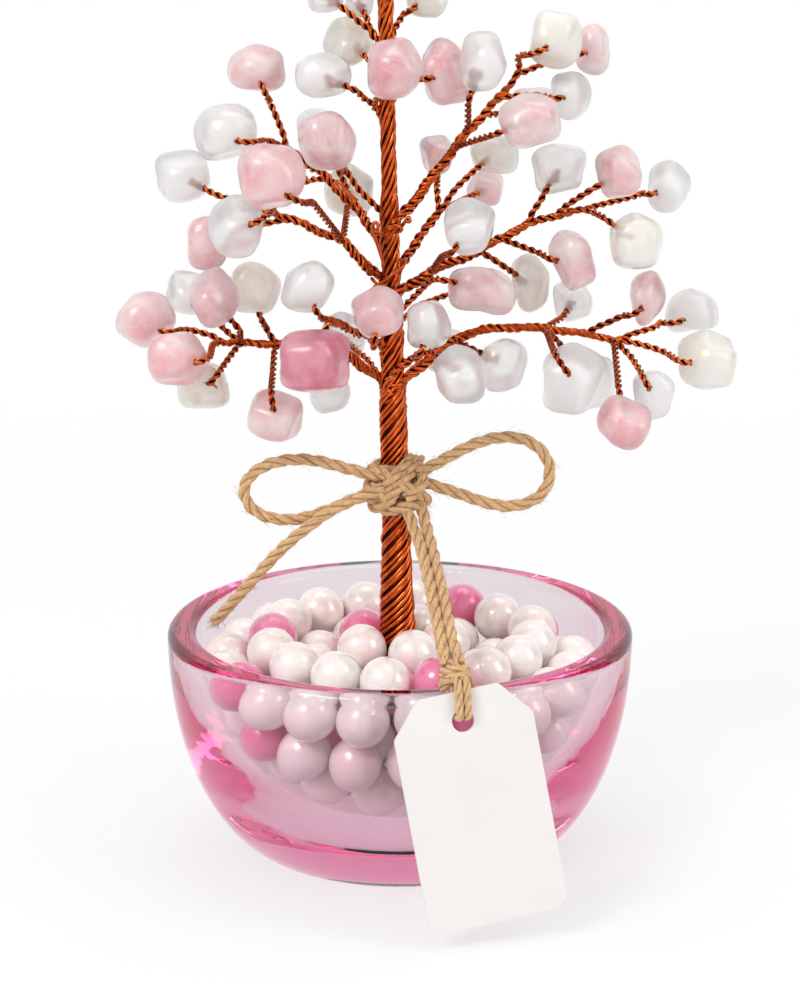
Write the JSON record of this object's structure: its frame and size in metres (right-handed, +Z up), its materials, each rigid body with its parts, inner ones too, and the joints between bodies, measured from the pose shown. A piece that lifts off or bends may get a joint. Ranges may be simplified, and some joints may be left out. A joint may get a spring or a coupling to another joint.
{
  "type": "gemstone tree ornament",
  "caption": "Wire tree with tumbled stones on its twigs, standing in a glass bowl of pearls, with a twine bow and a hanging card tag.",
  "frame": {"origin": "centre of the bowl's flat foot, on the surface that it stands on", "axes": "+Z up along the trunk; +X to the right and -Y towards the viewer, who sees the tag in front"},
  "size_m": [0.0968, 0.0835, 0.1462],
  "materials": {
    "pink_glass": "clear pink glass, polished",
    "clear_glue": "clear cast glue, glossy",
    "cream_pearl": "pearl coating, cream with a pink sheen",
    "pink_pearl": "pearl coating, bright pink",
    "copper_wire": "lacquered copper wire, bright",
    "rose_quartz": "tumbled and polished, slightly see-through",
    "clear_quartz": "tumbled and polished, cloudy white",
    "cream_quartz": "tumbled and polished, cream",
    "jute_twine": "three-ply jute with loose fibres",
    "tag_card": "smooth white card"
  },
  "bodies": {
    "root": {"bow_knot": "jute_twine", "bow_loop_left": "jute_twine", "bow_loop_right": "jute_twine", "bow_tail": "jute_twine", "bowl": "pink_glass", "branch_back_left": "copper_wire", "branch_back_mid": "copper_wire", "branch_back_right": "copper_wire", "branch_back_top": "copper_wire", "branch_crown_back": "copper_wire", "branch_crown_left": "copper_wire", "branch_crown_right": "copper_wire", "branch_left_back": "copper_wire", "branch_left_crown": "copper_wire", "branch_left_front": "copper_wire", "branch_left_high": "copper_wire", "branch_left_low": "copper_wire", "branch_left_mid": "copper_wire", "branch_left_tip": "copper_wire", "branch_left_top": "copper_wire", "branch_right_crown": "copper_wire", "branch_right_front": "copper_wire", "branch_right_front_mid": "copper_wire", "branch_right_high": "copper_wire", "branch_right_low": "copper_wire", "branch_right_mid": "copper_wire", "branch_right_tip": "copper_wire", "branch_right_upper": "copper_wire", "cream_stones_crown": "cream_quartz", "cream_stones_left_high": "cream_quartz", "cream_stones_left_low": "cream_quartz", "cream_stones_right_high": "cream_quartz", "cream_stones_right_low": "cream_quartz", "glue_core": "clear_glue", "pearls_cream": "cream_pearl", "pearls_pink": "pink_pearl", "root_wires": "copper_wire", "rose_stones_back": "rose_quartz", "rose_stones_crown": "rose_quartz", "rose_stones_left_high": "rose_quartz", "rose_stones_left_low": "rose_quartz", "rose_stones_right_high": "rose_quartz", "rose_stones_right_low": "rose_quartz", "tag_string_left": "jute_twine", "tag_string_right": "jute_twine", "trunk_lower": "copper_wire", "trunk_middle": "copper_wire", "trunk_top": "copper_wire", "trunk_upper": "copper_wire", "white_stones_back": "clear_quartz", "white_stones_crown": "clear_quartz", "white_stones_left_high": "clear_quartz", "white_stones_left_low": "clear_quartz", "white_stones_right_high": "clear_quartz", "white_stones_right_low": "clear_quartz"},
    "tag_loop": {"rim_knot": "jute_twine", "tag_loop": "jute_twine"},
    "tag": {"tag": "tag_card"}
  },
  "joints": [
    {"name": "tag_lift", "type": "hinge", "parent": "root", "child": "tag_loop", "pos_m": [0.00824, -0.03433, 0.0386], "axis": [-0.9724, -0.2334, 0], "range_deg": [-3, 80]},
    {"name": "tag_swing", "type": "hinge", "parent": "tag_loop", "child": "tag", "pos_m": [0.00926, -0.03856, 0.0334], "axis": [0.2283, -0.9511, 0.2079], "range_deg": [-30, 14]}
  ]
}
